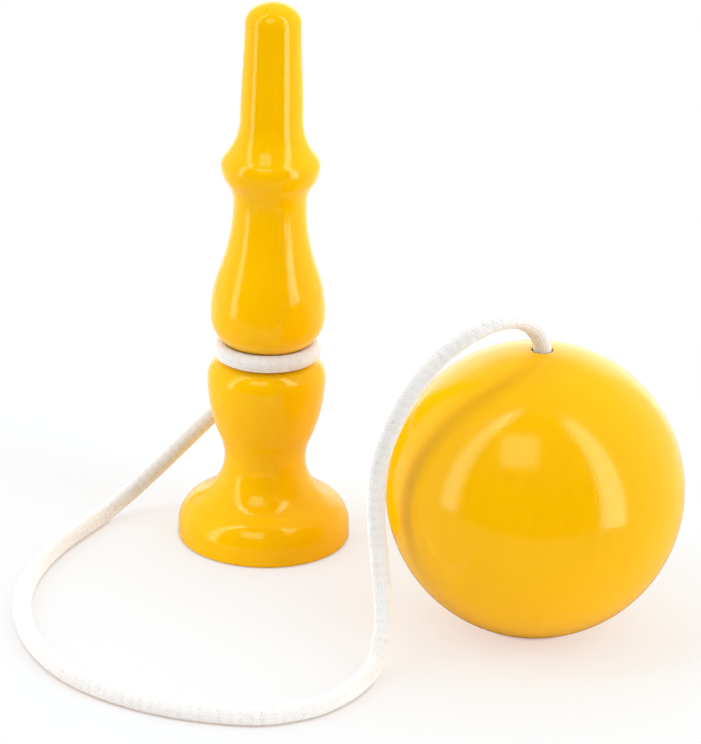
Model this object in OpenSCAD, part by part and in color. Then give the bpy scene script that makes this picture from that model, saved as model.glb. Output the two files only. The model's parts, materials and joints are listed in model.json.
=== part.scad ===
// Cup and ball toy: a turned stick with a catching peg and a dished foot, and a drilled ball on a braided cord.
// Millimetres. The stick stands upright on its foot, with its axis on Z and the floor at zero.

/* [Stick] */
// Height of the stick, from the floor to the tip of the peg
stick_h = 137; // [125:0.2:150]
// Diameter of the foot at its widest
foot_d = 42.8; // [38:0.2:50]
// Height of the foot's widest line
foot_z = 3.4; // [2.6:0.2:5]
// Round on the foot's lower edge
foot_edge = 0.8; // [0.4:0.2:2]
// Diameter of the waist above the foot
waist_d = 20.2; // [14:0.2:24]
// Height of the waist
waist_z = 21.2; // [17:0.2:25]
// Diameter of the belly below the cord
lower_belly_d = 29.2; // [25:0.2:31]
// Height of the belly below the cord
lower_belly_z = 42.6; // [38:0.2:44]
// Diameter at the bottom of the cord's groove
groove_d = 18.4; // [14:0.2:21]
// Height of the cord's groove
groove_z = 49.8; // [48.6:0.2:51]
// Diameter of the belly above the cord
upper_belly_d = 28.2; // [25:0.2:31]
// Height of the belly above the cord
upper_belly_z = 59; // [57.6:0.2:64]
// Diameter of the neck under the collar
neck_d = 17.8; // [13:0.2:20]
// Height of the neck
neck_z = 87.6; // [80:0.2:90]
// Diameter of the collar that the ball seats on
collar_d = 24; // [22:0.2:28]
// Height of the collar
collar_z = 97; // [94:0.2:100]
// Diameter of the peg where it leaves the collar's curve
peg_root_d = 15.2; // [14:0.2:17]
// Height where the peg leaves the collar's curve
peg_root_z = 108.6; // [104:0.2:113]
// Diameter of the peg at its tip
peg_tip_d = 13.6; // [10:0.2:14]
// Height of the rounded tip
tip_h = 5; // [2:0.2:6]

/* [Dish under the foot] */
// Diameter of the dish's mouth
dish_d = 34; // [28:0.5:36]
// Depth of the dish
dish_depth = 6; // [4.6:0.2:8]

/* [Ball] */
// Diameter of the ball
ball_d = 70; // [66:0.5:76]
// Distance of the ball from the stick's axis, to the side
ball_x = 64.6; // [62:0.2:70]
// Distance of the ball from the stick's axis, to the front
ball_y = 44.2; // [42:0.2:50]
// Play of the ball's socket round the thick end of the peg
socket_play = 2.4; // [1:0.1:3]
// Room left past the peg's tip when the ball is caught
peg_spare = 0.8; // [0.4:0.2:3]
// Play of the cord's hole round the cord
hole_play = 0.5; // [0.3:0.1:1]

/* [Cord] */
// Diameter of the braided cord
cord_d = 4; // [3.4:0.1:4.4]
// Running gap between the cord's loop and the groove
loop_gap = 0.25; // [0.2:0.05:0.5]
// Diameter of a tied knot
knot_d = 10.4; // [9:0.2:11]
// Height of a tied knot
knot_h = 8.4; // [7:0.2:9]
// Length of the cut end past the knot behind the stick
knot_tail = 8; // [5:0.5:12]
// Distance of that knot from the larger belly's surface
knot_stand = 4.2; // [3.6:0.1:6]
// Play of the stop knot in its pocket inside the ball
knot_play = 1.4; // [0.6:0.1:2]

/* [Hidden] */
$fn = 96;

yellow = [0.97, 0.72, 0.06];
white = [0.95, 0.95, 0.93];

// Segments in each arc of the stick's outline
arc_steps = 7;
// A cut reaches this far past the face that it opens
past = 1;

// The stick's widest and narrowest places, from the foot up, as radius and height
stations = [
    [foot_d / 2, foot_z],
    [waist_d / 2, waist_z],
    [lower_belly_d / 2, lower_belly_z],
    [groove_d / 2, groove_z],
    [upper_belly_d / 2, upper_belly_z],
    [neck_d / 2, neck_z],
    [collar_d / 2, collar_z],
    [peg_root_d / 2, peg_root_z]
];

// The two radii, added up, of an S-curve of tangent arcs that is upright at both ends
function ogee_radii(a, b) = (b - a) * (b - a) / (2 * abs(b[0] - a[0]));
// The groove is as round as the cord with its running gap
cord_r = cord_d / 2;
groove_round = cord_r + loop_gap;
// How much of each S-curve between two stations belongs to its lower arc
lower_arc_share = [
    0.39,
    0.26,
    1 - groove_round / ogee_radii(stations[2], stations[3]),
    groove_round / ogee_radii(stations[3], stations[4]),
    0.39,
    0.52,
    0.21
];

// The points of such an S-curve; its last point is left to the next curve
function ogee(a, b, share) =
    let (dr = b[0] - a[0])
    let (dz = b[1] - a[1])
    let (radii = ogee_radii(a, b))
    let (turn = atan2(dz, radii - abs(dr)))
    let (lower_r = sign(dr) * radii * share)
    let (upper_r = sign(dr) * radii * (1 - share))
    let (steps = [for (i = [0 : arc_steps]) turn * i / arc_steps])
    concat(
        [for (t = steps) a + [lower_r * (1 - cos(t)), abs(lower_r) * sin(t)]],
        [for (i = [arc_steps - 1 : -1 : 1]) b - [upper_r * (1 - cos(steps[i])), abs(upper_r) * sin(steps[i])]]
    );

foot_edge_arc = [
    for (i = [0 : arc_steps])
        let (t = 90 * i / arc_steps)
        [foot_d / 2 - foot_edge * (1 - sin(t)), foot_edge * (1 - cos(t))]
];
tip_arc = [
    for (i = [0 : 2 * arc_steps])
        let (t = 45 * i / arc_steps)
        [peg_tip_d / 2 * cos(t), stick_h - tip_h * (1 - sin(t))]
];
curves = [for (i = [0 : len(stations) - 2]) ogee(stations[i], stations[i + 1], lower_arc_share[i])];
stick_outline = concat(
    [[0, 0]],
    foot_edge_arc,
    [for (curve = curves) each curve],
    [stations[len(stations) - 1]],
    tip_arc
);

// The dish is part of a sphere through its mouth and its bottom
dish_r = (pow(dish_d / 2, 2) + pow(dish_depth, 2)) / (2 * dish_depth);

// The ball stands on the rim of its socket, and seats on the collar where the collar is as wide as the socket
ball_r = ball_d / 2;
socket_r = peg_root_d / 2 + socket_play;
seat_z = max([for (p = stick_outline) if (p[0] >= socket_r) p[1]]);
socket_depth = stick_h - seat_z + peg_spare;
pocket_r = knot_d / 2 + knot_play;
pocket_depth = knot_h + knot_play;
pocket_top = socket_depth + pocket_depth;
hole_r = cord_r + hole_play;
ball_z = sqrt(ball_r * ball_r - socket_r * socket_r);
ball_centre = [ball_x, -ball_y, ball_z];
hole_top = ball_z + sqrt(ball_r * ball_r - hole_r * hole_r);

// The loop leaves the groove along two tangents that meet in the knot behind the stick
loop_r = groove_d / 2 + loop_gap + cord_r;
knot_y = max(lower_belly_d, upper_belly_d) / 2 + knot_stand;
loop_open = acos(loop_r / knot_y);
loop_end = sqrt(knot_y * knot_y - loop_r * loop_r) - knot_d / 2 + past;
// A point of the loop at a turn round the stick from the knot's bearing, and the way that the cord runs there
function loop_point(turn) = loop_r * [-sin(turn), cos(turn), 0];
function loop_way(turn) = [-cos(turn), -sin(turn), 0];
loop_steps = 26;
loop_line = concat(
    [loop_point(loop_open) - loop_end * loop_way(loop_open)],
    [for (i = [0 : loop_steps]) loop_point(loop_open + (360 - 2 * loop_open) * i / loop_steps)],
    [loop_point(-loop_open) + loop_end * loop_way(-loop_open)]
);
stop_knot_z = pocket_top - loop_gap - knot_h / 2;

// Where the cord hangs from the knot and lies on the floor
hang_and_floor = [
    [-0.8, 18.7, 42],
    [-3.6, 18.6, 36],
    [-9, 17.8, 30],
    [-15.5, 16.4, 23.5],
    [-22.5, 14.8, 16.5],
    [-29, 12.6, 10.2],
    [-35, 9.3, 5.2],
    [-40.6, 3.2, 2.3],
    [-45.4, -6, cord_r],
    [-50, -16, cord_r],
    [-53.6, -27.5, cord_r],
    [-55.4, -40, cord_r],
    [-55, -52, cord_r],
    [-52.4, -63.5, cord_r],
    [-48, -74, cord_r],
    [-41.5, -83.5, cord_r],
    [-32.5, -91.5, cord_r],
    [-21.5, -97.5, cord_r],
    [-9.5, -101, cord_r],
    [3, -101.8, cord_r],
    [14, -97.6, cord_r],
    [21.6, -90, cord_r],
    [26.2, -81.8, 2.1],
    [28.8, -75.6, 4.2]
];
// Where it climbs in front of the ball's side and arches over to the hole: elevation and bearing round the
// ball's centre, with the gap left to the ball between them
arch = [
    [-28, 12.8, 38],
    [-20, 8, 33.5],
    [-11, 5.8, 30.5],
    [-1.5, 5.1, 28.5],
    [8.5, 5.4, 27.5],
    [19, 6.6, 27.5],
    [29.5, 8.4, 30],
    [39.5, 10.5, 33],
    [49, 12.3, 36.5],
    [58, 13.2, 41],
    [66.5, 12.6, 45.5],
    [74.5, 10.1, 48],
    [81, 7, 46],
    [86.4, 3.2, 42]
];
// Rings between two points of the cord's route, and sides of its tube
route_steps = 2;
tube_sides = 10;

function arch_point(a) =
    let (reach = ball_r + cord_r + a[1])
    ball_centre + reach * [-cos(a[0]) * cos(a[2]), -cos(a[0]) * sin(a[2]), sin(a[0])];

route = concat(
    [[0, knot_y, groove_z - knot_h / 2 + past]],
    hang_and_floor,
    [for (a = arch) arch_point(a)],
    [[ball_centre[0], ball_centre[1], hole_top]]
);

// A smooth curve through the route's points
function route_point(i) = route[min(max(i, 0), len(route) - 1)];
function between(i, u) =
    let (p = [for (k = [-1 : 2]) route_point(i + k)])
    let (bend = 2 * p[0] - 5 * p[1] + 4 * p[2] - p[3])
    let (twist = 3 * p[1] - p[0] - 3 * p[2] + p[3])
    p[1] + ((p[2] - p[0]) * u + bend * u * u + twist * u * u * u) / 2;
function on_or_above_floor(p) = [p[0], p[1], max(p[2], cord_r)];
cord_line = concat(
    [
        for (i = [0 : len(route) - 2])
            for (k = [0 : route_steps - 1])
                on_or_above_floor(between(i, k / route_steps))
    ],
    [route[len(route) - 1]]
);

function unit(v) = v / norm(v);
function square_to(v, along) = unit(v - (v * along) * along);
// The way a line runs at one of its points; ends gives the way at its first and last point
function heading(line, ends, i) =
    i == 0 ? ends[0] :
    i == len(line) - 1 ? ends[1] :
    unit(line[i + 1] - line[i - 1]);
// One direction square to the line at each point, carried along without twisting
function sideways(line, ends, i, s) =
    i == len(line) ? [] :
    let (here = square_to(s, heading(line, ends, i)))
    concat([here], sideways(line, ends, i + 1, here));

// A closed round tube along a line of points, from a direction that isn't along the line's start
module tube(line, ends, side_start) {
    side = sideways(line, ends, 0, side_start);
    rings = [
        for (i = [0 : len(line) - 1])
            let (up = cross(heading(line, ends, i), side[i]))
            for (k = [0 : tube_sides - 1])
                let (t = 360 * k / tube_sides)
                line[i] + cord_r * (cos(t) * side[i] + sin(t) * up)
    ];
    last = (len(line) - 1) * tube_sides;
    walls = [
        for (i = [0 : len(line) - 2])
            for (k = [0 : tube_sides - 1])
                let (a = i * tube_sides + k)
                let (b = i * tube_sides + (k + 1) % tube_sides)
                each [[a, b + tube_sides, b], [a, a + tube_sides, b + tube_sides]]
    ];
    caps = [for (k = [1 : tube_sides - 2]) each [[0, k, k + 1], [last, last + k + 1, last + k]]];
    polyhedron(rings, concat(walls, caps));
}

// A drawn-up knot: a barrel with soft shoulders
module knot() {
    shoulder = 0.6;
    rotate_extrude()
        polygon(concat(
            [[0, -knot_h / 2]],
            [
                for (t = [-80 : 10 : 80])
                    [knot_d / 2 * pow(cos(t), shoulder), knot_h / 2 * sign(t) * pow(abs(sin(t)), shoulder)]
            ],
            [[0, knot_h / 2]]
        ));
}

module stick() {
    color(yellow)
        difference() {
            rotate_extrude()
                polygon(stick_outline);
            translate([0, 0, dish_depth - dish_r])
                sphere(dish_r);
        }
}

module ball() {
    color(yellow)
        difference() {
            translate(ball_centre)
                sphere(ball_r);
            translate([ball_x, -ball_y, socket_depth - ball_d])
                cylinder(r = socket_r, h = ball_d);
            translate([ball_x, -ball_y, socket_depth - past])
                cylinder(r = pocket_r, h = pocket_depth + past);
            translate([ball_x, -ball_y, pocket_top - past])
                cylinder(r = hole_r, h = ball_d);
        }
}

module cord_loop() {
    color(white)
        translate([0, 0, groove_z])
            tube(loop_line, [loop_way(loop_open), loop_way(-loop_open)], [0, 0, 1]);
}

module stick_knot() {
    // Lean and bearing of the short cut end
    tail_lean = 125;
    tail_bearing = 50;
    color(white)
        translate([0, knot_y, groove_z]) {
            knot();
            rotate([0, tail_lean, tail_bearing])
                cylinder(r = cord_r, h = knot_d / 2 + knot_tail);
        }
}

module cord_run() {
    color(white)
        tube(cord_line, [[0, 0, -1], [0, 0, -1]], [1, 0, 0]);
}

module cord_in_ball() {
    color(white)
        translate([ball_x, -ball_y, stop_knot_z])
            cylinder(r = cord_r, h = hole_top - stop_knot_z);
}

module stop_knot() {
    color(white)
        translate([ball_x, -ball_y, stop_knot_z])
            knot();
}

route_lengths = [for (i = [1 : len(cord_line) - 1]) norm(cord_line[i] - cord_line[i - 1])];
echo(run_length = route_lengths * [for (l = route_lengths) 1]);
echo(gap_between_loop_ends = 2 * (knot_d / 2 - past) * cos(loop_open) - cord_d);
echo(socket_depth = socket_depth, ball_z = ball_z, hole_top = hole_top, knot_y = knot_y, loop_r = loop_r);

stick();
ball();
cord_loop();
stick_knot();
cord_run();
cord_in_ball();
stop_knot();
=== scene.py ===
import json
import math

import bpy
import numpy as np
from mathutils import Matrix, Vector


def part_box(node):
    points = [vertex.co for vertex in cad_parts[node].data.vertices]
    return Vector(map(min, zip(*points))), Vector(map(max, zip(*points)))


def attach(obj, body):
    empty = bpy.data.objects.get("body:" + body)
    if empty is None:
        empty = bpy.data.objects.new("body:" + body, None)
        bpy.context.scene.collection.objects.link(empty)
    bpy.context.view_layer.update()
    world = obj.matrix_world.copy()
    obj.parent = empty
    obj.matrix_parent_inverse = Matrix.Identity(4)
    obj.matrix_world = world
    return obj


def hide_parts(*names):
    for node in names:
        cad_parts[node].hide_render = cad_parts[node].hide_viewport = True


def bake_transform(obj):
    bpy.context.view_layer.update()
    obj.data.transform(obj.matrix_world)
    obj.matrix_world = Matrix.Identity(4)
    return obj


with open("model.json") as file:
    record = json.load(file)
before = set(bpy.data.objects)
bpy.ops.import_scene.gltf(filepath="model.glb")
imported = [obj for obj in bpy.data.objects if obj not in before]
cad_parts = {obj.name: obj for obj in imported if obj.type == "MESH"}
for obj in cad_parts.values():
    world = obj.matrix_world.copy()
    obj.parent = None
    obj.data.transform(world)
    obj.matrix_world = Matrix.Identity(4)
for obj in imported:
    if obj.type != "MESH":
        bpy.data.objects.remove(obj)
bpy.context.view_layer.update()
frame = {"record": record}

# Cup and ball toy: a turned and lacquered stick, a drilled and lacquered ball, and the braided cord that
# ties them. Metres, and radians unless a comment says degrees. The stick stands at the origin, with its
# axis on Z and the floor at zero.

# The stick's widest and narrowest places, from the foot up, as radius and height
STICK_STATIONS = {
    "foot": (0.0214, 0.0034),
    "waist": (0.0101, 0.0212),
    "lower_belly": (0.0146, 0.0426),
    "groove": (0.0092, 0.0498),
    "upper_belly": (0.0141, 0.0590),
    "neck": (0.0089, 0.0876),
    "collar": (0.0120, 0.0970),
    "peg_root": (0.0076, 0.1086),
}
STICK_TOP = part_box("stick")[1].z
FOOT_EDGE = 0.0008
PEG_TIP_R = 0.0068
TIP_H = 0.005
DISH_R = 0.017
DISH_DEPTH = 0.006
DISH_RIM_ROUND = 0.0005

# The ball, and the socket, knot pocket and cord hole drilled through it on one axis
BALL_LOW, BALL_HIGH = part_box("ball")
BALL_R = (BALL_HIGH.x - BALL_LOW.x) / 2
BALL_X = (BALL_HIGH.x + BALL_LOW.x) / 2
BALL_Y = (BALL_HIGH.y + BALL_LOW.y) / 2
SOCKET = next(m for m in frame["record"]["mounts"] if m["name"] == "ball_socket")["dims"]
SOCKET_R = SOCKET["r_mm"] / 1000
SOCKET_DEPTH = SOCKET["length_mm"] / 1000
BALL_Z = math.sqrt(BALL_R**2 - SOCKET_R**2)
BALL_CENTRE = np.array([BALL_X, BALL_Y, BALL_Z])
POCKET_R = 0.0066
POCKET_DEPTH = 0.0098
POCKET_TOP = SOCKET_DEPTH + POCKET_DEPTH
HOLE_R = 0.0025
HOLE_TOP = BALL_Z + math.sqrt(BALL_R**2 - HOLE_R**2)
LIP_ROUND = 0.0004
RIM_ROUND = 0.0008

# The cord: its size, its loop in the stick's groove, with the gap to the wood and the lift above the
# groove's middle, and its two knots
CORD_D = 0.004
CORD_R = CORD_D / 2
LOOP_GAP = 0.00025
LOOP_LIFT = 0.0001
GROOVE_R, GROOVE_Z = STICK_STATIONS["groove"]
GROOVE_ROUND = CORD_R + LOOP_GAP
LOOP_R = GROOVE_R + GROOVE_ROUND
KNOT_Y = 0.0188
LOOP_OPEN = math.acos(LOOP_R / KNOT_Y)
KNOT_H = 0.0084
STOP_KNOT_Z = POCKET_TOP - LOOP_GAP - KNOT_H / 2

# Where the cord hangs from the knot and lies on the floor
HANG_AND_FLOOR = [
    (0.0, KNOT_Y, 0.0466),
    (-0.0008, 0.0187, 0.042),
    (-0.0036, 0.0186, 0.036),
    (-0.009, 0.0178, 0.03),
    (-0.0155, 0.0164, 0.0235),
    (-0.0225, 0.0148, 0.0165),
    (-0.029, 0.0126, 0.0102),
    (-0.035, 0.0093, 0.0052),
    (-0.0406, 0.0032, 0.0023),
    (-0.0454, -0.006, 0.002),
    (-0.05, -0.016, 0.002),
    (-0.0536, -0.0275, 0.002),
    (-0.0554, -0.04, 0.002),
    (-0.055, -0.052, 0.002),
    (-0.0524, -0.0635, 0.002),
    (-0.048, -0.074, 0.002),
    (-0.0415, -0.0835, 0.002),
    (-0.0325, -0.0915, 0.002),
    (-0.0215, -0.0975, 0.002),
    (-0.0095, -0.101, 0.002),
    (0.003, -0.1018, 0.002),
    (0.014, -0.0976, 0.002),
    (0.0216, -0.09, 0.002),
    (0.0262, -0.0818, 0.0021),
    (0.0288, -0.0756, 0.0042),
]
# Where it climbs in front of the ball's side and arches over to the hole: elevation and bearing round the
# ball's centre in degrees, with the gap left to the ball between them
ARCH = [
    (-28, 0.0128, 38),
    (-20, 0.008, 33.5),
    (-11, 0.0058, 30.5),
    (-1.5, 0.0051, 28.5),
    (8.5, 0.0054, 27.5),
    (19, 0.0066, 27.5),
    (29.5, 0.0084, 30),
    (39.5, 0.0105, 33),
    (49, 0.0123, 36.5),
    (58, 0.0132, 41),
    (66.5, 0.0126, 45.5),
    (74.5, 0.0101, 48),
    (81, 0.007, 46),
    (86.4, 0.0032, 42),
]
# Heights on its straight way down inside the ball
IN_BALL_HEIGHTS = [HOLE_TOP, 0.06, 0.052, STOP_KNOT_Z]

# Where the loop's two ends are tied behind the stick: one end bends over and drops through the knot,
# and the other goes round it and ends in a short tail
LOOP_DROP = [
    (0.0, 0.0188, 0.0458),
    (0.0, 0.0189, 0.0486),
    (0.0006, 0.0184, 0.0507),
    (0.0026, 0.016, 0.0518),
    (0.0058, 0.0116, 0.051),
]
LOOP_WRAP = [
    (-0.0074, 0.01, 0.0499),
    (-0.0058, 0.0142, 0.0502),
    (-0.0042, 0.0184, 0.0503),
    (-0.0026, 0.0217, 0.05),
    (0.0002, 0.0228, 0.0495),
    (0.0029, 0.0216, 0.0489),
    (0.004, 0.0188, 0.0484),
    (0.0029, 0.016, 0.048),
    (0.0, 0.0149, 0.0478),
    (-0.0029, 0.016, 0.0473),
    (-0.004, 0.0188, 0.0467),
    (-0.0029, 0.0217, 0.0461),
    (0.0002, 0.0229, 0.0456),
    (0.0034, 0.0235, 0.0448),
    (0.0058, 0.0251, 0.0436),
    (0.0076, 0.0269, 0.042),
]
# The stop knot's turns inside the ball, from the cord above it to its cut end, round the ball's axis
STOP_KNOT = [
    (0.0, 0.0, 0.0036),
    (0.0, 0.0, 0.0004),
    (0.0004, 0.0, -0.0022),
    (0.0025, 0.0003, -0.0034),
    (0.0039, 0.002, -0.0022),
    (0.002, 0.0038, -0.0012),
    (-0.0014, 0.0039, -0.0004),
    (-0.0039, 0.0014, 0.0004),
    (-0.0036, -0.0019, 0.0012),
    (-0.0008, -0.004, 0.002),
    (0.0026, -0.0032, 0.0026),
    (0.004, -0.0002, 0.003),
]

# The braid: strands that run each way round the cord, their spacing along it, the relief of its surface
# and the radius that the relief rises from
STRANDS = 16
PICK = 0.0009
STRAND_CROWN = 0.00026
STRAND_DIP = 0.00014
BRAID_BASE_R = CORD_R - 0.8 * STRAND_CROWN
BRAID_SIDES = 64
BRAID_STEP = 0.00025

# How finely the turned shapes and curves are divided
LATHE_SIDES = 160
ARC_STEPS = 20
BALL_STEPS = 96
RING_STEPS = 40
CORNER_STEPS = 6
FLAT_STEPS = 4

# Each lacquer's colour over light and dark wood, and its least and most roughness; the ball's colour is
# the stick's lacquer made darker, which is painted shading on the ball
STICK_LACQUER = {
    "light": (0.905, 0.488, 0.0006, 1),
    "dark": (0.875, 0.464, 0.0003, 1),
    "roughness": (0.06, 0.11),
}
BALL_LACQUER_DARKENED = {
    "light": (0.838, 0.442, 0.0006, 1),
    "dark": (0.808, 0.419, 0.0003, 1),
    "roughness": (0.1, 0.14),
}

# The table's edges, and how far from the stick it starts to run to white and is all white
TABLE_FRONT, TABLE_BACK = -0.21, 0.5
TABLE_LEFT, TABLE_RIGHT = -0.26, 0.24
FADE_START, FADE_END = 0.13, 0.2

# The photo tent's parts: how bright each looks in the toy's gloss beside white, and how strongly it
# lights the toy
TENT = {
    "right_wall": (0.6, 1.5),
    "left_wall": (0.55, 1.75),
    "side_back_walls": (0.7, 1.6),
    "back_wall": (1.6, 1.2),
    "high_walls": (0.45, 1.45),
    "roof": (0.45, 0.4),
    "right_strip": (6.4, 0.0),
    "left_strip": (4.2, 2.4),
    "left_strip_top": (4.5, 0.0),
    "over_opening": (0.0, 1.0),
    "under_opening": (0.0, 0.12),
}


def make_camera():
    """The photograph's viewpoint: a long lens, looking along +Y and down, rolled a little."""
    frame_height_px = 744
    focal_px = 3000
    eye = (0.020664, -0.688974, 0.31365)
    pitch = 0.3729
    roll = 0.030394
    data = bpy.data.cameras.new("photo_view")
    data.sensor_width = 36
    data.lens = focal_px * data.sensor_width / frame_height_px
    data.clip_start = 0.01
    camera = bpy.data.objects.new("photo_view", data)
    tilt = Matrix.Rotation(math.pi / 2 - pitch, 4, "X")
    camera.matrix_world = Matrix.Translation(eye) @ tilt @ Matrix.Rotation(roll, 4, "Z")
    bpy.context.scene.collection.objects.link(camera)
    bpy.context.scene.camera = camera


def make_piece(name, points, faces, materials):
    """A smooth mesh piece from points and faces."""
    mesh = bpy.data.meshes.new(name)
    mesh.from_pydata([tuple(p) for p in points], [], faces)
    for material in materials:
        mesh.materials.append(material)
    mesh.shade_smooth()
    mesh.validate()
    piece = bpy.data.objects.new(name, mesh)
    bpy.context.scene.collection.objects.link(piece)
    return piece


def smooth_line(points, step):
    """A smooth curve through points, sampled at an even step."""
    span_steps = 24
    p = np.array(points, float)
    p = np.vstack([p[:1], p, p[-1:]])
    u = np.linspace(0, 1, span_steps, endpoint=False)[:, None]
    spans = [
        b + ((c - a) * u + (2 * a - 5 * b + 4 * c - d) * u**2 + (3 * b - a - 3 * c + d) * u**3) / 2
        for a, b, c, d in zip(p, p[1:], p[2:], p[3:])
    ]
    fine = np.vstack([*spans, p[-1:]])
    along = np.concatenate([[0], np.cumsum(np.linalg.norm(np.diff(fine, axis=0), axis=1))])
    even = np.linspace(0, along[-1], int(along[-1] / step) + 1)
    return np.column_stack([np.interp(even, along, fine[:, k]) for k in range(3)])


def carried_frames(line):
    """At each point of a line, two directions square to it that are carried along without twisting."""
    ways = np.gradient(line, axis=0)
    ways /= np.linalg.norm(ways, axis=1)[:, None]
    side = np.cross(ways[0], (0, 0, 1) if abs(ways[0][2]) < 0.7 else (1, 0, 0))
    sides = []
    for way in ways:
        side = side - np.dot(side, way) * way
        side = side / np.linalg.norm(side)
        sides.append(side)
    sides = np.array(sides)
    return sides, np.cross(ways, sides)


def braid_relief(around, along):
    """Height of a braid's surface, where strands of two yarns cross two over and two under."""
    turn = STRANDS * around / math.tau
    right = turn + along / PICK
    left = turn - along / PICK

    def strand(across, along_it, over):
        share = across - np.floor(across)
        crown = np.sqrt(np.maximum(0, 1 - (2 * share - 1) ** 2))
        yarns = np.abs(np.sin(math.tau * share))
        wave = np.sin(math.pi / 2 * (np.floor(across) + along_it))
        return STRAND_CROWN * (0.75 * crown + 0.25 * yarns) + STRAND_DIP * over * wave

    return np.maximum(strand(right, left, 1), strand(left, right, -1))


def braided_cord(name, line, material):
    """A closed braided tube along a line, with rounded ends, that never goes below the floor."""
    least_end_share = 0.04
    sides, ups = carried_frames(line)
    around = np.linspace(0, math.tau, BRAID_SIDES, endpoint=False)
    along = np.concatenate([[0], np.cumsum(np.linalg.norm(np.diff(line, axis=0), axis=1))])
    relief = braid_relief(around[None, :], along[:, None])
    end_share = np.minimum(along, along[-1] - along) / CORD_R
    dome = np.sqrt(np.clip(1 - (1 - np.clip(end_share, least_end_share, 1)) ** 4, 0, 1))
    reach = (BRAID_BASE_R + relief) * dome[:, None]
    spread = np.cos(around)[None, :, None] * sides[:, None] + np.sin(around)[None, :, None] * ups[:, None]
    points = (line[:, None] + reach[:, :, None] * spread).reshape(-1, 3)
    points[:, 2] = np.maximum(points[:, 2], 0)
    rings, n = len(line), BRAID_SIDES
    walls = [
        (i * n + k, i * n + (k + 1) % n, (i + 1) * n + (k + 1) % n, (i + 1) * n + k)
        for i in range(rings - 1)
        for k in range(n)
    ]
    first = len(points)
    last = first + 1
    caps = [(first, (k + 1) % n, k) for k in range(n)]
    caps += [(last, (rings - 1) * n + k, (rings - 1) * n + (k + 1) % n) for k in range(n)]
    piece = make_piece(name, [*points, line[0], line[-1]], walls + caps, [material])
    # The relief's height, which the cord's material turns into painted shading between the strands
    depth = piece.data.attributes.new("braid_height", "FLOAT", "POINT")
    lowest, highest = relief.min(), relief.max()
    share = (relief.ravel() - lowest) / (highest - lowest)
    depth.data.foreach_set("value", np.append(share, [0.5, 0.5]).astype(np.float32))
    return piece


def arch_point(elevation, gap, bearing):
    """A point of the cord beside or over the ball, from two angles in degrees and the gap to the ball."""
    e, b = math.radians(elevation), math.radians(bearing)
    way = np.array([-math.cos(e) * math.cos(b), -math.cos(e) * math.sin(b), math.sin(e)])
    return BALL_CENTRE + (BALL_R + CORD_R + gap) * way


def make_cord(material):
    """The cord from the knot behind the stick to the stop knot inside the ball, with its loop and knots."""
    climb = [arch_point(*a) for a in ARCH]
    in_ball = [(BALL_X, BALL_Y, z) for z in IN_BALL_HEIGHTS]
    run_line = smooth_line([*HANG_AND_FLOOR, *climb, *in_ball], BRAID_STEP)
    run_line[:, 2] = np.maximum(run_line[:, 2], CORD_R)
    run = braided_cord("cord", run_line, material)

    turns = np.linspace(LOOP_OPEN, math.tau - LOOP_OPEN, RING_STEPS + 1)
    ring = [(LOOP_R * math.sin(t), LOOP_R * math.cos(t), GROOVE_Z + LOOP_LIFT) for t in turns]
    loop_line = smooth_line([*LOOP_DROP, *ring, *LOOP_WRAP], BRAID_STEP)
    loop = braided_cord("cord_loop_tied", loop_line, material)

    stop_at = np.array([BALL_X, BALL_Y, STOP_KNOT_Z])
    stop = braided_cord("cord_stop_knot", smooth_line(np.array(STOP_KNOT) + stop_at, BRAID_STEP), material)

    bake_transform(run)
    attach(loop, "loop")
    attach(stop, "cord_end")
    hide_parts("cord_run", "cord_in_ball")
    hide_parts("cord_loop", "stick_knot")
    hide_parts("stop_knot")


def straight(a, b, steps):
    """Points from a up to b, without b."""
    return [np.array(a) + (np.array(b) - np.array(a)) * k / steps for k in range(steps)]


def eased_corner(before, corner, after, cut):
    """A corner of an outline rounded off, from cut before it to cut after it."""
    before, corner, after = (np.array(p, float) for p in (before, corner, after))
    a = corner + (before - corner) * cut / np.linalg.norm(before - corner)
    b = corner + (after - corner) * cut / np.linalg.norm(after - corner)
    t = np.linspace(0, 1, CORNER_STEPS + 1)[:, None]
    return list((1 - t) ** 2 * a + 2 * t * (1 - t) * corner + t**2 * b)


def ogee_radii(low, high):
    """The two radii, added up, of an S-curve of tangent arcs that is upright at both ends."""
    return ((high[0] - low[0]) ** 2 + (high[1] - low[1]) ** 2) / (2 * abs(high[0] - low[0]))


def ogee(low, high, share):
    """The points of such an S-curve without its last one; share is how much belongs to its lower arc."""
    dr, dz = high[0] - low[0], high[1] - low[1]
    radii = ogee_radii(low, high)
    turn = math.atan2(dz, radii - abs(dr))
    lower, upper = radii * share, radii * (1 - share)
    sign = math.copysign(1, dr)
    up = np.linspace(0, turn, ARC_STEPS + 1)
    down = up[-2:0:-1]
    first = [(low[0] + sign * lower * (1 - math.cos(t)), low[1] + lower * math.sin(t)) for t in up]
    second = [(high[0] - sign * upper * (1 - math.cos(t)), high[1] - upper * math.sin(t)) for t in down]
    return first + second


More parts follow.
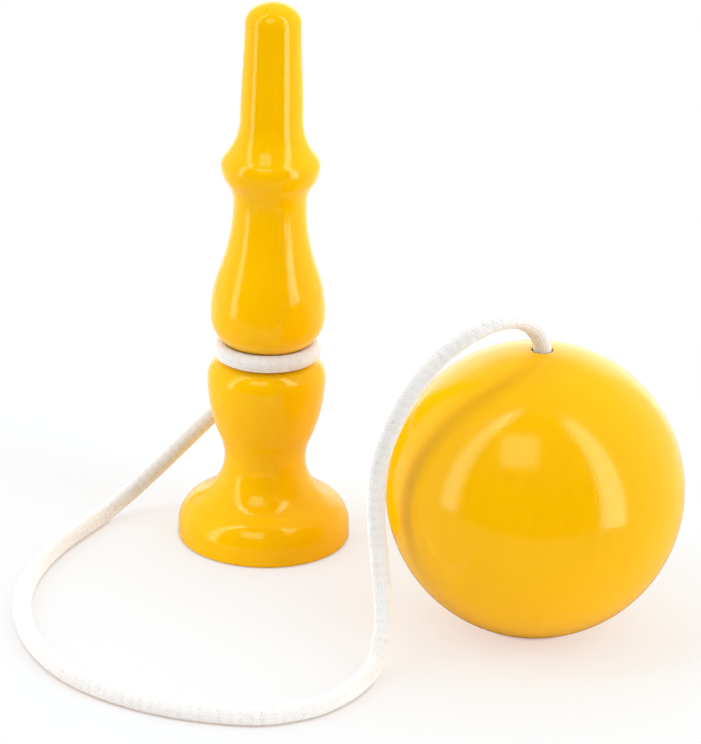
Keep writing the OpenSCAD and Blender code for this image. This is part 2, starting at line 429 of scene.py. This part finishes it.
def stick_outline():
    """Radius and height from the middle of the dish, under the foot, up to the tip of the peg."""
    dish_sphere = (DISH_R**2 + DISH_DEPTH**2) / (2 * DISH_DEPTH)
    mouth = math.asin(DISH_R / dish_sphere)
    dish = [
        (dish_sphere * math.sin(t), DISH_DEPTH - dish_sphere * (1 - math.cos(t)))
        for t in np.linspace(0, mouth, ARC_STEPS + 1)[:-1]
    ]
    foot = STICK_STATIONS["foot"]
    ring_end = (foot[0] - FOOT_EDGE, 0)
    dish_rim = eased_corner(dish[-1], (DISH_R, 0), ring_end, DISH_RIM_ROUND)
    foot_ring = straight(dish_rim[-1], ring_end, FLAT_STEPS)[1:]
    edge = [
        (foot[0] - FOOT_EDGE * (1 - math.sin(t)), FOOT_EDGE * (1 - math.cos(t)))
        for t in np.linspace(0, math.pi / 2, ARC_STEPS // 2 + 1)
    ]
    wall = straight(edge[-1], foot, FLAT_STEPS)[1:]
    stations = list(STICK_STATIONS.values())
    spans = list(zip(stations, stations[1:]))
    into_groove = 1 - GROOVE_ROUND / ogee_radii(*spans[2])
    out_of_groove = GROOVE_ROUND / ogee_radii(*spans[3])
    lower_shares = [0.39, 0.26, into_groove, out_of_groove, 0.39, 0.52, 0.21]
    curves = [ogee(low, high, share) for (low, high), share in zip(spans, lower_shares)]
    root_r, root_z = STICK_STATIONS["peg_root"]
    tip_z = STICK_TOP - TIP_H
    taper = [
        (root_r + (PEG_TIP_R - root_r) * u * u * (3 - 2 * u), root_z + (tip_z - root_z) * u)
        for u in np.linspace(0, 1, ARC_STEPS + 1)[:-1]
    ]
    tip = [
        (PEG_TIP_R * math.cos(t), tip_z + TIP_H * math.sin(t))
        for t in np.linspace(0, math.pi / 2, ARC_STEPS + 1)
    ]
    return [*dish, *dish_rim, *foot_ring, *edge, *wall, *sum(curves, []), *taper, *tip]


def ball_outlines():
    """The ball's round outside and its drilled inside, as radius and height round its axis."""
    corner_room = 0.001
    lip_turn = math.asin(HOLE_R / BALL_R)
    rim_turn = math.pi - math.asin(SOCKET_R / BALL_R)
    turns = np.linspace(lip_turn, rim_turn, BALL_STEPS + 1)
    sphere = [(BALL_R * math.sin(t), BALL_Z + BALL_R * math.cos(t)) for t in turns]
    lip, rim = (HOLE_R, HOLE_TOP), (SOCKET_R, 0)
    socket_end, step = (SOCKET_R, SOCKET_DEPTH), (POCKET_R, SOCKET_DEPTH)
    pocket_end, hole_low = (POCKET_R, POCKET_TOP), (HOLE_R, POCKET_TOP)
    inside = [
        *eased_corner(sphere[-2], rim, socket_end, RIM_ROUND),
        *straight((SOCKET_R, 2 * corner_room), (SOCKET_R, SOCKET_DEPTH - corner_room), 3 * FLAT_STEPS),
        *eased_corner(rim, socket_end, step, LIP_ROUND),
        *eased_corner(socket_end, step, pocket_end, LIP_ROUND),
        *straight((POCKET_R, SOCKET_DEPTH + corner_room), (POCKET_R, POCKET_TOP - corner_room), FLAT_STEPS),
        *eased_corner(step, pocket_end, hole_low, LIP_ROUND),
        *eased_corner(pocket_end, hole_low, lip, LIP_ROUND),
        *straight((HOLE_R, POCKET_TOP + corner_room), (HOLE_R, HOLE_TOP - corner_room), 2 * FLAT_STEPS),
        *eased_corner(hole_low, lip, sphere[1], LIP_ROUND),
    ]
    return sphere[1:-1], inside


def turned(name, outline, axis, materials, closed=False):
    """A piece turned round an upright axis; an outline that isn't closed starts and ends on the axis."""
    turns = np.linspace(0, math.tau, LATHE_SIDES, endpoint=False)
    x, y = axis
    rings = outline if closed else outline[1:-1]
    points = [(x + r * math.cos(t), y + r * math.sin(t), z) for r, z in rings for t in turns]
    n, count = LATHE_SIDES, len(rings)
    faces = [
        (i * n + k, i * n + (k + 1) % n, (i + 1) % count * n + (k + 1) % n, (i + 1) % count * n + k)
        for i in range(count if closed else count - 1)
        for k in range(n)
    ]
    if not closed:
        low, high = len(points), len(points) + 1
        points += [(x, y, outline[0][1]), (x, y, outline[-1][1])]
        faces += [(low, (k + 1) % n, k) for k in range(n)]
        faces += [(high, (count - 1) * n + k, (count - 1) * n + (k + 1) % n) for k in range(n)]
    return make_piece(name, points, faces, materials)


def make_stick(lacquer):
    """The stick, lacquered all over."""
    stick = turned("stick_turned", stick_outline(), (0, 0), [lacquer])
    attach(stick, "stick")
    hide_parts("stick")


def make_ball(lacquer, bare_wood):
    """The ball, lacquered outside and over the rounded edges of its bores, and bare inside them."""
    outside, inside = ball_outlines()
    outline = [*outside[::-1], *inside[::-1]]
    ball = turned("ball_turned", outline, (BALL_X, BALL_Y), [lacquer, bare_wood], closed=True)
    first_bare = len(outside) + CORNER_STEPS
    last_bare = len(outline) - CORNER_STEPS - 1
    for face in ball.data.polygons:
        if first_bare <= face.index // LATHE_SIDES < last_bare:
            face.material_index = 1
    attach(ball, "ball")
    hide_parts("ball")


def add_node(tree, kind, inputs=None, **settings):
    """A node with its settings, whose inputs are values or other nodes' outputs."""
    made = tree.nodes.new(kind)
    for name, value in settings.items():
        setattr(made, name, value)
    for socket, value in (inputs or {}).items():
        if isinstance(value, bpy.types.NodeSocket):
            tree.links.new(value, made.inputs[socket])
        else:
            made.inputs[socket].default_value = value
    return made


def worked_out(tree, operation, *values):
    """What a sum or function of values or other nodes' outputs comes to."""
    return add_node(tree, "ShaderNodeMath", dict(enumerate(values)), operation=operation).outputs[0]


def ranged(tree, value, start, end, low=0.0, high=1.0, smooth=False):
    """A value that goes from low to high as the given one goes from start to end."""
    inputs = {"Value": value, "From Min": start, "From Max": end, "To Min": low, "To Max": high}
    curve = "SMOOTHSTEP" if smooth else "LINEAR"
    return add_node(tree, "ShaderNodeMapRange", inputs, interpolation_type=curve).outputs["Result"]


def noise(tree, place, scale, detail, roughness=0.5):
    """Cloudy noise in space."""
    inputs = {"Vector": place, "Scale": scale, "Detail": detail, "Roughness": roughness}
    return add_node(tree, "ShaderNodeTexNoise", inputs).outputs["Fac"]


def two_tone(tree, value, dark_at, dark, light_at, light):
    """A colour that goes from dark to light as value goes from dark_at to light_at."""
    ramp = add_node(tree, "ShaderNodeValToRGB", {"Fac": value})
    for stop, position, colour in zip(ramp.color_ramp.elements, (dark_at, light_at), (dark, light)):
        stop.position = position
        stop.color = colour
    return ramp.outputs["Color"]


def bumped(tree, height, depth, strength=1.0, under=None):
    """A normal for a relief of the given depth, laid over another relief's normal."""
    inputs = {"Height": height, "Strength": strength, "Distance": depth}
    if under:
        inputs["Normal"] = under
    return add_node(tree, "ShaderNodeBump", inputs).outputs["Normal"]


def new_material(name):
    """A material with its tree and its principled shader."""
    material = bpy.data.materials.new(name)
    material.use_nodes = True
    return material, material.node_tree, material.node_tree.nodes["Principled BSDF"]


def wood_grain_group():
    """Turned wood: a tone that varies in streaks along Z, the pores' relief, and the tool's fine rings."""
    along_grain = (1, 1, 0.06)
    round_axis = (0.12, 0.12, 1)
    group = bpy.data.node_groups.new("turned_wood_grain", "ShaderNodeTree")
    group.interface.new_socket("Streak Scale", in_out="INPUT", socket_type="NodeSocketFloat")
    for name in ("Tone", "Pores", "Tool Rings"):
        group.interface.new_socket(name, in_out="OUTPUT", socket_type="NodeSocketFloat")
    streak_scale = group.nodes.new("NodeGroupInput").outputs["Streak Scale"]
    pore_scale = worked_out(group, "MULTIPLY", streak_scale, 4.0)
    result = group.nodes.new("NodeGroupOutput").inputs
    place = add_node(group, "ShaderNodeTexCoord").outputs["Object"]

    def stretched(way):
        return add_node(group, "ShaderNodeVectorMath", {0: place, 1: way}, operation="MULTIPLY").outputs[0]

    group.links.new(noise(group, stretched(along_grain), streak_scale, 3.0, 0.55), result["Tone"])
    group.links.new(noise(group, stretched(along_grain), pore_scale, 2.0, 0.55), result["Pores"])
    group.links.new(noise(group, stretched(round_axis), 1500.0, 2.0, 0.55), result["Tool Rings"])
    return group


def yellow_lacquer(name, grain, light, dark, roughness):
    """High-gloss yellow lacquer on turned wood: the grain hardly shows, and the gloss is a little uneven."""
    material, tree, shader = new_material(name)
    wood = add_node(tree, "ShaderNodeGroup", {"Streak Scale": 420.0}, node_tree=grain).outputs
    place = add_node(tree, "ShaderNodeTexCoord").outputs["Object"]
    drift = noise(tree, place, 38.0, 2.0)
    peel = noise(tree, place, 1600.0, 1.0)
    tone = worked_out(tree, "ADD", wood["Tone"], drift)
    tree.links.new(two_tone(tree, tone, 0.6, dark, 1.0, light), shader.inputs["Base Color"])
    gloss = ranged(tree, wood["Pores"], 0.3, 0.75, *roughness)
    tree.links.new(gloss, shader.inputs["Roughness"])
    normal = None
    for height, depth in ((peel, 0.000032), (wood["Tool Rings"], 0.000005), (wood["Pores"], 0.000003)):
        normal = bumped(tree, height, depth, under=normal)
    tree.links.new(normal, shader.inputs["Normal"])
    shader.inputs["IOR"].default_value = 1.4
    shader.inputs["Specular Tint"].default_value = (1.0, 0.94, 0.6, 1)
    return material


def bare_drilled_wood(grain):
    """Pale bare wood inside the ball's drilled bores."""
    material, tree, shader = new_material("bare_drilled_wood")
    wood = add_node(tree, "ShaderNodeGroup", {"Streak Scale": 300.0}, node_tree=grain).outputs
    colour = two_tone(tree, wood["Tone"], 0.3, (0.42, 0.25, 0.11, 1), 0.7, (0.62, 0.42, 0.22, 1))
    tree.links.new(colour, shader.inputs["Base Color"])
    tree.links.new(bumped(tree, wood["Pores"], 0.00005), shader.inputs["Normal"])
    shader.inputs["Roughness"].default_value = 0.75
    return material


def white_cotton_braid():
    """White cotton braid: bright strands, painted shading between them, grey patches, loose fibres."""
    material, tree, shader = new_material("white_cotton_braid")
    height = add_node(tree, "ShaderNodeAttribute", attribute_name="braid_height").outputs["Fac"]
    place = add_node(tree, "ShaderNodeTexCoord").outputs["Object"]
    fibres = noise(tree, place, 2600.0, 3.0, 0.65)
    patches = noise(tree, place, 160.0, 2.0)
    # Painted shading: darker where the braid's relief is low, between the strands; the patches vary it at
    # random
    strand_shading_and_soil = worked_out(tree, "MULTIPLY_ADD", patches, 0.16, height)
    colour = two_tone(tree, strand_shading_and_soil, 0.4, (0.635, 0.627, 0.609, 1), 0.9, (0.785, 0.78, 0.77, 1))
    tree.links.new(colour, shader.inputs["Base Color"])
    tree.links.new(bumped(tree, fibres, 0.00008, strength=0.7), shader.inputs["Normal"])
    shader.inputs["Roughness"].default_value = 0.85
    shader.inputs["Specular IOR Level"].default_value = 0.25
    shader.inputs["Sheen Weight"].default_value = 0.15
    shader.inputs["Subsurface Weight"].default_value = 0.7
    shader.inputs["Subsurface Radius"].default_value = (1.0, 0.9, 0.75)
    shader.inputs["Subsurface Scale"].default_value = 0.0016
    return material


def white_table_top():
    """White, a little lit from below; it keeps the toy's shadow and runs to white away from the toy."""
    material = bpy.data.materials.new("white_table")
    material.use_nodes = True
    tree = material.node_tree
    tree.nodes.clear()
    ray = add_node(tree, "ShaderNodeLightPath").outputs
    place = add_node(tree, "ShaderNodeTexCoord").outputs["Object"]
    reach = add_node(tree, "ShaderNodeVectorMath", {0: place}, operation="LENGTH").outputs["Value"]
    far = ranged(tree, reach, FADE_START, FADE_END, smooth=True)
    seen_far = worked_out(tree, "MULTIPLY", far, ray["Is Camera Ray"])
    behind_toy = ranged(tree, add_node(tree, "ShaderNodeSeparateXYZ", {0: place}).outputs["Y"], 0.02, 0.14)
    # Painted contact shadow: within 0.8 mm of the toy the glow turns dark brown
    painted_contact_shadow = add_node(tree, "ShaderNodeAmbientOcclusion", {"Distance": 0.0008}, samples=8)
    from_below = worked_out(tree, "MULTIPLY_ADD", ray["Is Diffuse Ray"], 0.25, ray["Is Camera Ray"])

    def blend(share, a, b):
        return add_node(tree, "ShaderNodeMix", {"Factor": share, 6: a, 7: b}, data_type="RGBA").outputs[2]

    # Painted shadow in the toy's gloss: the table reflects darker in front of the toy and close behind it,
    # lighter further back
    in_gloss = blend(behind_toy, (0.44, 0.43, 0.38, 1), (0.72, 0.71, 0.68, 1))
    unseen = blend(ray["Is Glossy Ray"], (0.86, 0.855, 0.845, 1), in_gloss)
    # Seen straight on: a dim sheet plus a warm glow; the warm tint is painted yellow bounce light in the
    # shadows
    colour = blend(ray["Is Camera Ray"], unseen, (0.145, 0.29, 0.335, 1))
    sheet = add_node(tree, "ShaderNodeBsdfDiffuse", {"Color": colour}).outputs[0]
    glow_with_painted_shadow = blend(painted_contact_shadow.outputs["AO"], (0.45, 0.29, 0.2, 1), (0.78, 0.585, 0.53, 1))
    glow = add_node(tree, "ShaderNodeEmission", {"Color": glow_with_painted_shadow, "Strength": from_below}).outputs[0]
    lit = add_node(tree, "ShaderNodeAddShader", {0: sheet, 1: glow}).outputs[0]
    white = add_node(tree, "ShaderNodeEmission", {"Strength": 1.0}).outputs[0]
    top = add_node(tree, "ShaderNodeMixShader", {0: seen_far, 1: lit, 2: white}).outputs[0]
    below = add_node(tree, "ShaderNodeNewGeometry").outputs["Backfacing"]
    clear = add_node(tree, "ShaderNodeBsdfTransparent").outputs[0]
    both = add_node(tree, "ShaderNodeMixShader", {0: below, 1: top, 2: clear}).outputs[0]
    add_node(tree, "ShaderNodeOutputMaterial", {"Surface": both})
    return material


def make_table():
    """The flat top of a small white table, clear from below."""
    corners = [
        (TABLE_LEFT, TABLE_FRONT, 0),
        (TABLE_RIGHT, TABLE_FRONT, 0),
        (TABLE_RIGHT, TABLE_BACK, 0),
        (TABLE_LEFT, TABLE_BACK, 0),
    ]
    make_piece("white_table", corners, [(0, 1, 2, 3)], [white_table_top()])


def make_tent():
    """The world: a white photo tent, open and dark in front between two bright upright strips."""
    world = bpy.data.worlds.new("photo_tent")
    world.use_nodes = True
    bpy.context.scene.world = world
    tree = world.node_tree
    tree.nodes.clear()
    way = add_node(tree, "ShaderNodeTexCoord").outputs["Generated"]
    axes = add_node(tree, "ShaderNodeSeparateXYZ", {0: way}).outputs
    bearing = worked_out(tree, "ARCTAN2", axes["X"], worked_out(tree, "MULTIPLY", axes["Y"], -1.0))
    leftward = worked_out(tree, "MULTIPLY", bearing, -1.0)
    off_front = worked_out(tree, "ABSOLUTE", bearing)
    height = worked_out(tree, "ARCSINE", axes["Z"])

    def times(a, b):
        return worked_out(tree, "MULTIPLY", a, b)

    def rise(angle, none_at, full_at):
        """None to full between two angles in degrees."""
        return ranged(tree, angle, math.radians(none_at), math.radians(full_at), smooth=True)

    def window(angle, low, high, soft):
        """Full between two angles in degrees, with soft edges."""
        return times(rise(angle, low - soft, low + soft), rise(angle, high + soft, high - soft))

    low = rise(height, 40, 20)
    under_roof = rise(height, 84, 76)
    opening = times(rise(bearing, -66, -62), rise(bearing, 52, 48))
    left_strip = times(window(leftward, 62.5, 77, 2.5), rise(height, -44, -34))
    parts = {
        "right_wall": times(window(bearing, 50, 100, 2), under_roof),
        "left_wall": times(window(leftward, 64, 100, 2), under_roof),
        "side_back_walls": times(window(off_front, 100, 150, 6), low),
        "back_wall": times(rise(off_front, 144, 156), low),
        "high_walls": times(rise(off_front, 98, 102), window(height, 30, 80, 10)),
        "roof": rise(height, 70, 90),
        "right_strip": times(window(bearing, 48.5, 68.5, 2), rise(height, 78, 60)),
        "left_strip": times(left_strip, rise(height, 82, 70)),
        "left_strip_top": times(left_strip, window(height, 55, 76, 8)),
        "over_opening": times(opening, window(height, 25, 70, 4)),
        "under_opening": times(opening, rise(height, -4, -12)),
    }
    ray = add_node(tree, "ShaderNodeLightPath").outputs

    def switched(share, a, b):
        return add_node(tree, "ShaderNodeMix", {"Factor": share, "A": a, "B": b}).outputs["Result"]

    glow = 0.0
    for name, mask in parts.items():
        in_gloss, on_toy = TENT[name]
        level = switched(ray["Is Diffuse Ray"], in_gloss, on_toy)
        glow = worked_out(tree, "MULTIPLY_ADD", mask, level, glow)
    seen = switched(ray["Is Camera Ray"], glow, 1.0)
    inputs = {"Color": (1, 1, 1, 1), "Strength": seen}
    background = add_node(tree, "ShaderNodeBackground", inputs).outputs[0]
    add_node(tree, "ShaderNodeOutputWorld", {"Surface": background})


def make_opening_panel():
    """A panel of light over the tent's opening, turned to the ball, which only shows in the gloss."""
    width, height = 0.56, 0.5
    brightness = 3.4
    lamp = bpy.data.lights.new("opening_panel", "AREA")
    lamp.shape = "RECTANGLE"
    lamp.size = width
    lamp.size_y = height
    lamp.energy = brightness * math.pi * width * height
    panel = bpy.data.objects.new("opening_panel", lamp)
    panel.matrix_world = (
        Matrix.Translation(BALL_CENTRE)
        @ Matrix.Rotation(math.radians(-20), 4, "Z")
        @ Matrix.Rotation(math.radians(41.5), 4, "X")
        @ Matrix.Rotation(math.radians(8), 4, "Z")
        @ Matrix.Translation((-0.04, 0.03, 1.2))
    )
    panel.visible_diffuse = False
    bpy.context.scene.collection.objects.link(panel)


def main():
    """The whole scene: camera and cord first, then the turned pieces, the table and the light."""
    make_camera()
    make_cord(white_cotton_braid())
    grain = wood_grain_group()
    make_stick(yellow_lacquer("stick_lacquer", grain, **STICK_LACQUER))
    make_ball(yellow_lacquer("ball_lacquer", grain, **BALL_LACQUER_DARKENED), bare_drilled_wood(grain))
    make_table()
    make_tent()
    make_opening_panel()
    bpy.context.scene.view_settings.view_transform = "Standard"


main()
